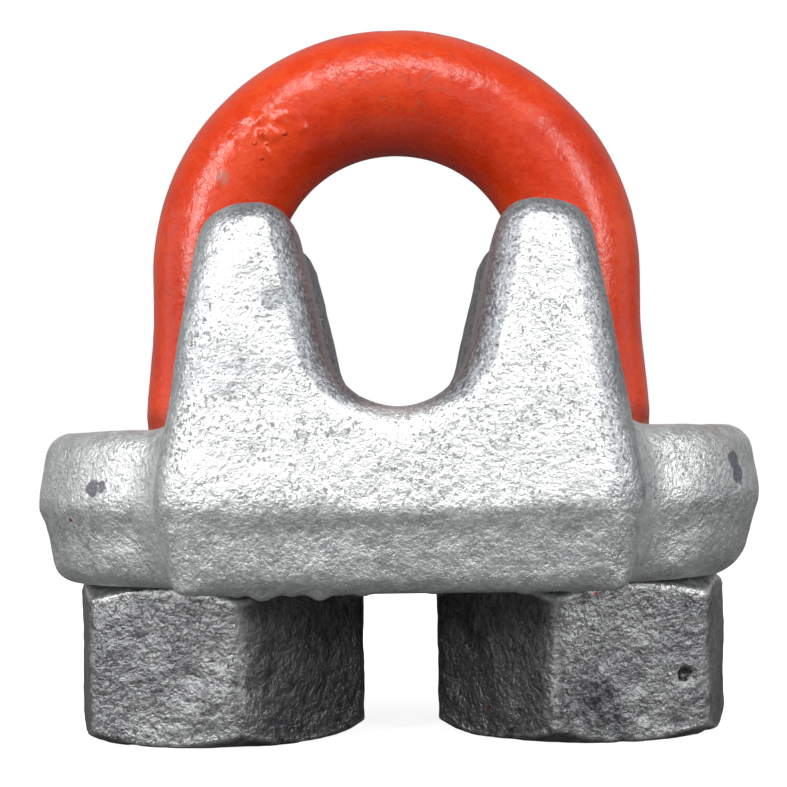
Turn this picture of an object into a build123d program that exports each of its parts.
from build123d import *
import math
import os

# Wire rope clip: forged saddle, U-bolt and two heavy hexagon nuts, in millimetres.
# Axes: +Y along the ropes, +X across the two legs, +Z from the nuts towards the bow.
# The pieces are modelled with z = 0 on the saddle's underside, where the nuts bear.
# On export each is moved down by SEAT_Z, so that the origin lies on the axis of the
# live rope's seat, midway along the saddle. Drafts and turns are in degrees.

LEG_SPACING = 30.2        # between the axes of the two legs
LEG_X = LEG_SPACING / 2

# ---- saddle: heights --------------------------------------------------------------
Z_PART = 5.7              # parting line of the forging
Z_SLOT = 9.0              # slot floor, later covered by the ears
Z_EAR = 12.2              # top of the ears
BRIDGE_Z = 14.6           # top of the bridge
SEAT_Z = 19.3             # axis of the live rope's seat
Z_HORN = 28.9             # tops of the horns

# ---- saddle: block and horns ------------------------------------------------------
HALF_LENGTH = 48.5 / 2    # along the rope, at the parting line
FLANK_X = 17.35           # half width of the block at the ear top
FLANK_DRAFT = 10.5        # outer flanks of the horns
FRONT_DRAFT = 7.0         # end faces above the parting line
CORNER_R = 2.5            # upright outer corners
HORN_R = 3.0              # rounded tops of the horns, seen along the rope
SEAT_R = 5.6              # live rope seat
TROUGH_OPEN = 12.5        # trough walls above the seat, from upright
SLOT_HALF = 7.3           # half width of the slot for the U-bolt, at the ear top
SLOT_DRAFT = 9.0
SLOT_EDGE_R = 2.0         # edges of the slot's walls
FOOT_R = 2.5              # concave corner between ear top and horn

# ---- saddle: ears, base, bridge and holes -----------------------------------------
EAR_R = 14.9              # ear radius about each leg, at the parting line
EAR_DRAFT = 9.0           # ear walls above the parting line
EAR_RIM_R = 2.3           # top edge of the ears
EAR_INSET_X = 0.35        # the ears' slab lies inside the block by these
EAR_INSET_Y = 0.65
EAR_CORNER_R = 3.0        # outer corners of the ears' slab
WEB_R = 5.0               # concave corner between ear and block, in plan
PART_STEP = 0.6           # die mismatch: the lower half is smaller by this all round
LOWER_DRAFT = 10.0        # all walls below the parting line
BASE_RIM_R = 1.9          # bottom edge of the saddle
BRIDGE_X = 7.6            # half width of the bridge at its top
BRIDGE_SPREAD = 0.2       # extra half width at its bottom
BRIDGE_OVERLAP = 2.6      # its reach into the horns, past the slot wall
BRIDGE_EDGE_R = 0.8
HOLE_D = 14.3             # leg holes
HOLE_EASE = 0.5           # eased mouth under the nut

# ---- thread: 1/2 in, 13 to the inch, right hand, nuts tapped oversize for the zinc -
PITCH = 25.4 / 13
CREST_R = 6.30
ROOT_R = 5.15
PITCH_R = 5.715
NUT_CREST_R = 5.40
NUT_ROOT_R = 6.52
THREAD_FLANK = 30         # each flank, from square to the axis
FLANK_PLAY = 0.15         # axial, each flank
Z_HELIX = -8 * PITCH      # common start, so that nut and leg mesh as they sit
LEG_TURNS = 14.4
NUT_TURNS = 10

# ---- U-bolt -----------------------------------------------------------------------
ROD_R = 10.2 / 2          # bow
SHANK_R = 11.5 / 2        # just above the thread
Z_BOW = 25.05             # height of the bow's centre
Z_LEG_END = -12.2
Z_RUNOUT = 10.6           # top of the full thread

# ---- nuts -------------------------------------------------------------------------
NUT_AF = 22.2             # across flats
NUT_R = NUT_AF / 2 / math.cos(math.radians(30))
NUT_H = 12.6
NUT_CORNER_R = 1.3
NUT_FACE_R = 10.75        # radius of the flat bearing faces
NUT_CHAMFER = 30          # slope of the chamfer outside them
NUT_TURN_L = 11.8         # a corner's angle from -Y on each nut as it sits
NUT_TURN_R = -14.5
SINK_R = NUT_ROOT_R + 0.15  # radius of the countersink at each face
SINK_DEPTH = 1.5

# ---- construction allowances ------------------------------------------------------
REACH = 40                # half length of cutting prisms, past the whole saddle
LAP = 1.0                 # overlap where pieces join, or overshoot where one cuts
NEAR = 0.01               # tolerance for edges at a height, and a sliver of overshoot
TRIM = 0.1                # margin of the thread's trimming outline

ON_BASE = (Align.CENTER, Align.CENTER, Align.MIN)


def tan(degrees):
    return math.tan(math.radians(degrees))


def flank(z):
    """Half width of the block in X."""
    return FLANK_X - tan(FLANK_DRAFT) * (z - Z_EAR)


def front(z):
    """Half length of the block in Y."""
    return HALF_LENGTH - tan(FRONT_DRAFT) * (z - Z_PART)


def slot_wall(z):
    """Half width of the slot in Y."""
    return SLOT_HALF + tan(SLOT_DRAFT) * (z - Z_EAR)


# where the round seat meets the trough walls
SEAT_EDGE_X = SEAT_R * math.cos(math.radians(TROUGH_OPEN))
SEAT_EDGE_Z = SEAT_Z - SEAT_R * math.sin(math.radians(TROUGH_OPEN))
TROUGH_TOP_X = SEAT_EDGE_X + tan(TROUGH_OPEN) * (Z_HORN - SEAT_EDGE_Z)


def seat_arc():
    return ThreePointArc(
        (-SEAT_EDGE_X, SEAT_EDGE_Z), (0, SEAT_Z - SEAT_R), (SEAT_EDGE_X, SEAT_EDGE_Z)
    )


def prism(plane, line):
    """A closed line on a plane, extruded both ways past the saddle."""
    return extrude(make_face(plane * line), REACH, both=True)


def turned(points):
    """A solid of revolution about Z from (radius, z) points."""
    line = Polyline(*[(radius, 0, z) for radius, z in points], close=True)
    return revolve(make_face(line), Axis.Z).solid()


# ---- saddle -----------------------------------------------------------------------
def edges_on(shape, half_width, above):
    """Edges on the mirrored surfaces |y| = half_width(z), centred above a height."""

    def lies_on(edge):
        spots = [edge.position_at(t) for t in (0.1, 0.5, 0.9)]
        return all(abs(abs(p.Y) - half_width(p.Z)) < 0.02 for p in spots)

    return [e for e in shape.edges() if e.center().Z >= above and lies_on(e)]


def make_block():
    """Block and four horns, parted by the trough along Y and the slot along X."""
    # seen along the rope: flanks, rounded horn tops, trough
    right = [
        (SEAT_EDGE_X, SEAT_EDGE_Z),
        (TROUGH_TOP_X, Z_HORN),
        (flank(Z_HORN), Z_HORN),
        (flank(Z_PART), Z_PART),
    ]
    left = [(-x, z) for x, z in right]
    outline = Curve() + [Polyline(*left, *reversed(right)), seat_arc()]
    face = make_face(Plane.XZ * outline)
    face = fillet([v for v in face.vertices() if abs(v.Z - Z_HORN) < NEAR], HORN_R)
    block = extrude(face, REACH, both=True)

    # seen along X: one drafted end each way, joined under the slot
    z_low = Z_PART - LAP
    z_over = Z_HORN + 3
    inner_y = 2
    ends = []
    for side in (-1, 1):
        points = [
            (front(z_low), z_low),
            (front(z_over), z_over),
            (slot_wall(z_over), z_over),
            (slot_wall(Z_SLOT), Z_SLOT),
            (inner_y, Z_SLOT),
            (inner_y, z_low),
        ]
        line = Polyline(*[(side * y, z) for y, z in points], close=True)
        ends.append(prism(Plane.YZ, line))
    middle = Pos(0, 0, (Z_SLOT + z_low) / 2) * Box(
        2 * REACH, 2 * inner_y + LAP, Z_SLOT - z_low
    )
    block = (block & (ends[0] + ends[1] + middle)).solid()

    # one rounded edge runs round each end face and each slot wall
    block = block.fillet(CORNER_R, edges_on(block, front, Z_PART + 0.1))
    return block.fillet(SLOT_EDGE_R, edges_on(block, slot_wall, Z_SLOT + 0.1))


def plan(half_x, half_y, ear_r, corner_r):
    """Outline of block and ears in plan, with rounded corners."""
    face = Rectangle(2 * half_x, 2 * half_y)
    for side in (-1, 1):
        face += Pos(side * LEG_X, 0) * Circle(ear_r)
    face = face.face()
    face = fillet([v for v in face.vertices() if abs(v.Y) < half_y - 1], WEB_R)
    outer = [v for v in face.vertices() if abs(v.Y) > half_y - NEAR]
    return fillet(outer, corner_r)


def drafted_slab(outline, height, draft, rim_r):
    """An outline drawn up or down from the parting line, with its far rim rounded."""
    slab = extrude(Plane.XY.offset(Z_PART) * outline, height, taper=draft).solid()
    z_rim = Z_PART + height
    rim = [
        e
        for e in slab.edges()
        if abs(e.center().Z - z_rim) < NEAR and abs(e.position_at(0).Z - z_rim) < NEAR
    ]
    return slab.fillet(rim_r, rim)


def make_ears():
    """Ears above the parting line, with the web that joins them to the block."""
    outline = plan(
        flank(Z_PART) - EAR_INSET_X, HALF_LENGTH - EAR_INSET_Y, EAR_R, EAR_CORNER_R
    )
    return drafted_slab(outline, Z_EAR - Z_PART, EAR_DRAFT, EAR_RIM_R)


def make_base():
    """Everything below the parting line."""
    outline = plan(
        flank(Z_PART) - PART_STEP, HALF_LENGTH - PART_STEP, EAR_R - PART_STEP, CORNER_R
    )
    return drafted_slab(outline, -Z_PART, LOWER_DRAFT, BASE_RIM_R)


def make_bridge():
    """Low bridge along Y across the slot, hollowed by the rope seat."""
    length = 2 * (slot_wall(Z_EAR) + BRIDGE_OVERLAP)
    low = Plane.XY.offset(Z_SLOT - LAP) * Rectangle(
        2 * (BRIDGE_X + BRIDGE_SPREAD), length
    )
    high = Plane.XY.offset(BRIDGE_Z) * Rectangle(2 * BRIDGE_X, length)
    bridge = loft([low, high], ruled=True).solid()
    long_edges = [
        e
        for e in bridge.edges()
        if abs(e.center().Z - BRIDGE_Z) < NEAR and abs(e.center().Y) < NEAR
    ]
    bridge = bridge.fillet(BRIDGE_EDGE_R, long_edges)
    chord = Line((SEAT_EDGE_X, SEAT_EDGE_Z), (-SEAT_EDGE_X, SEAT_EDGE_Z))
    return (bridge - prism(Plane.XZ, Curve() + [seat_arc(), chord])).solid()


def foot_edges(shape):
    """Edges at the ear top round each horn's flank and slot wall."""
    wall_y = slot_wall(Z_EAR)
    flank_end_y = 13.5    # outer end of the edge along the flank
    # (x, y) of the edges' middles, mirrored into all quadrants
    middles = [
        (FLANK_X, (wall_y + SLOT_EDGE_R + flank_end_y) / 2),
        (FLANK_X - 0.6, wall_y + 0.6),
        ((FLANK_X - SLOT_EDGE_R + BRIDGE_X) / 2, wall_y),
    ]
    tolerance = 0.7

    def is_foot(c):
        return abs(c.Z - Z_EAR) < tolerance and any(
            abs(abs(c.X) - x) < tolerance and abs(abs(c.Y) - y) < tolerance
            for x, y in middles
        )

    return [e for e in shape.edges() if is_foot(e.center())]


def make_saddle():
    saddle = (make_block() + make_ears() + make_base() + make_bridge()).solid()
    saddle = saddle.fillet(FOOT_R, foot_edges(saddle))
    hole_r = HOLE_D / 2
    for side in (-1, 1):
        x = side * LEG_X
        saddle = saddle - Pos(x, 0, -LAP) * Cylinder(hole_r, Z_EAR + 6, align=ON_BASE)
        saddle = saddle - Pos(x, 0, -NEAR) * Cone(
            hole_r + HOLE_EASE, hole_r - NEAR, HOLE_EASE + 2 * NEAR, align=ON_BASE
        )
    return saddle.solid()


# ---- thread -----------------------------------------------------------------------
def ridge(inner_r, outer_r, widening, turns):
    """A right-hand helical ridge about +Z, each flank moved out by the widening."""

    def half(radius):
        taper = (radius - PITCH_R) * tan(THREAD_FLANK)
        return PITCH / 4 - FLANK_PLAY / 2 - taper + widening

    section = Polyline(
        (inner_r, 0, Z_HELIX - half(inner_r)),
        (outer_r, 0, Z_HELIX - half(outer_r)),
        (outer_r, 0, Z_HELIX + half(outer_r)),
        (inner_r, 0, Z_HELIX + half(inner_r)),
        close=True,
    )
    helix = Edge.make_helix(PITCH, turns * PITCH, PITCH_R, center=(0, 0, Z_HELIX))
    return sweep(make_face(section), path=Wire([helix]), is_frenet=True).solid()


# ---- U-bolt -----------------------------------------------------------------------
# outlines of revolution: radius, z
THREAD_LIMITS = [
    (0, Z_LEG_END),
    (ROOT_R - TRIM, Z_LEG_END),
    (CREST_R + TRIM, Z_LEG_END + 1.3),
    (CREST_R + TRIM, Z_RUNOUT - 0.9),
    (ROOT_R - TRIM, Z_RUNOUT + 0.5),
    (0, Z_RUNOUT + 0.5),
]
LEG_OUTLINE = [
    (0, Z_LEG_END),
    (ROOT_R - 0.5, Z_LEG_END),
    (ROOT_R, Z_LEG_END + 0.5),
    (ROOT_R, Z_RUNOUT - 0.3),
    (SHANK_R - 0.05, Z_RUNOUT + 0.4),
    (SHANK_R, Z_RUNOUT + 3.0),
    (SHANK_R - 0.12, Z_RUNOUT + 4.6),
    (ROD_R + 0.12, Z_RUNOUT + 8.6),
    (ROD_R, Z_RUNOUT + 10.6),
    (ROD_R, Z_BOW),
    (0, Z_BOW),
]


def make_u_bolt():
    # the ridge starts inside the core
    thread = ridge(ROOT_R - 0.3, CREST_R, 0, LEG_TURNS)
    thread = (thread & turned(THREAD_LIMITS)).solid()
    leg = turned(LEG_OUTLINE) + thread
    bow = revolve(
        Plane.XY.offset(Z_BOW) * Pos(LEG_X, 0) * Circle(ROD_R),
        Axis((0, 0, Z_BOW), (0, -1, 0)),
        180,
    )
    return (bow + Pos(LEG_X, 0, 0) * leg + Pos(-LEG_X, 0, 0) * leg).solid()


# ---- nuts -------------------------------------------------------------------------
def make_nut_blank():
    """Chamfered hexagon without its hole, a corner along +X, top face at z = 0."""
    hexagon = RegularPolygon(NUT_R, 6, major_radius=True)
    hexagon = fillet(hexagon.vertices(), NUT_CORNER_R)
    blank = extrude(Plane.XY.offset(-NUT_H) * hexagon, NUT_H)
    outer_r = NUT_R + LAP
    drop = (outer_r - NUT_FACE_R) * tan(NUT_CHAMFER)
    return blank & turned(
        [
            (0, -NUT_H),
            (NUT_FACE_R, -NUT_H),
            (outer_r, -NUT_H + drop),
            (outer_r, -drop),
            (NUT_FACE_R, 0),
            (0, 0),
        ]
    )


def make_tap():
    """The nut's threaded hole as a solid."""
    core = Pos(0, 0, -NUT_H - 4) * Cylinder(NUT_CREST_R, NUT_H + 10, align=ON_BASE)
    return core + ridge(NUT_CREST_R - 0.2, NUT_ROOT_R, FLANK_PLAY, NUT_TURNS)


def make_nut(x, corner_turn):
    # only the hexagon turns; the thread keeps its own phase
    nut = Rot(0, 0, -90 + corner_turn) * make_nut_blank()
    sink = Pos(0, 0, -SINK_DEPTH) * Cone(
        SINK_R - SINK_DEPTH, SINK_R + LAP, SINK_DEPTH + LAP, align=ON_BASE
    )
    nut = nut - make_tap() - sink - Pos(0, 0, -NUT_H) * Rot(180, 0, 0) * sink
    return (Pos(x, 0, 0) * nut).solid()


# ---- the parts in the assembly's frame --------------------------------------------
PARTS = {
    "saddle": make_saddle(),
    "u_bolt": make_u_bolt(),
    "nut_left": make_nut(-LEG_X, NUT_TURN_L),
    "nut_right": make_nut(LEG_X, NUT_TURN_R),
}
os.makedirs("parts", exist_ok=True)
for name, shape in PARTS.items():
    export_step(Pos(0, 0, -SEAT_Z) * shape, f"parts/{name}.step")
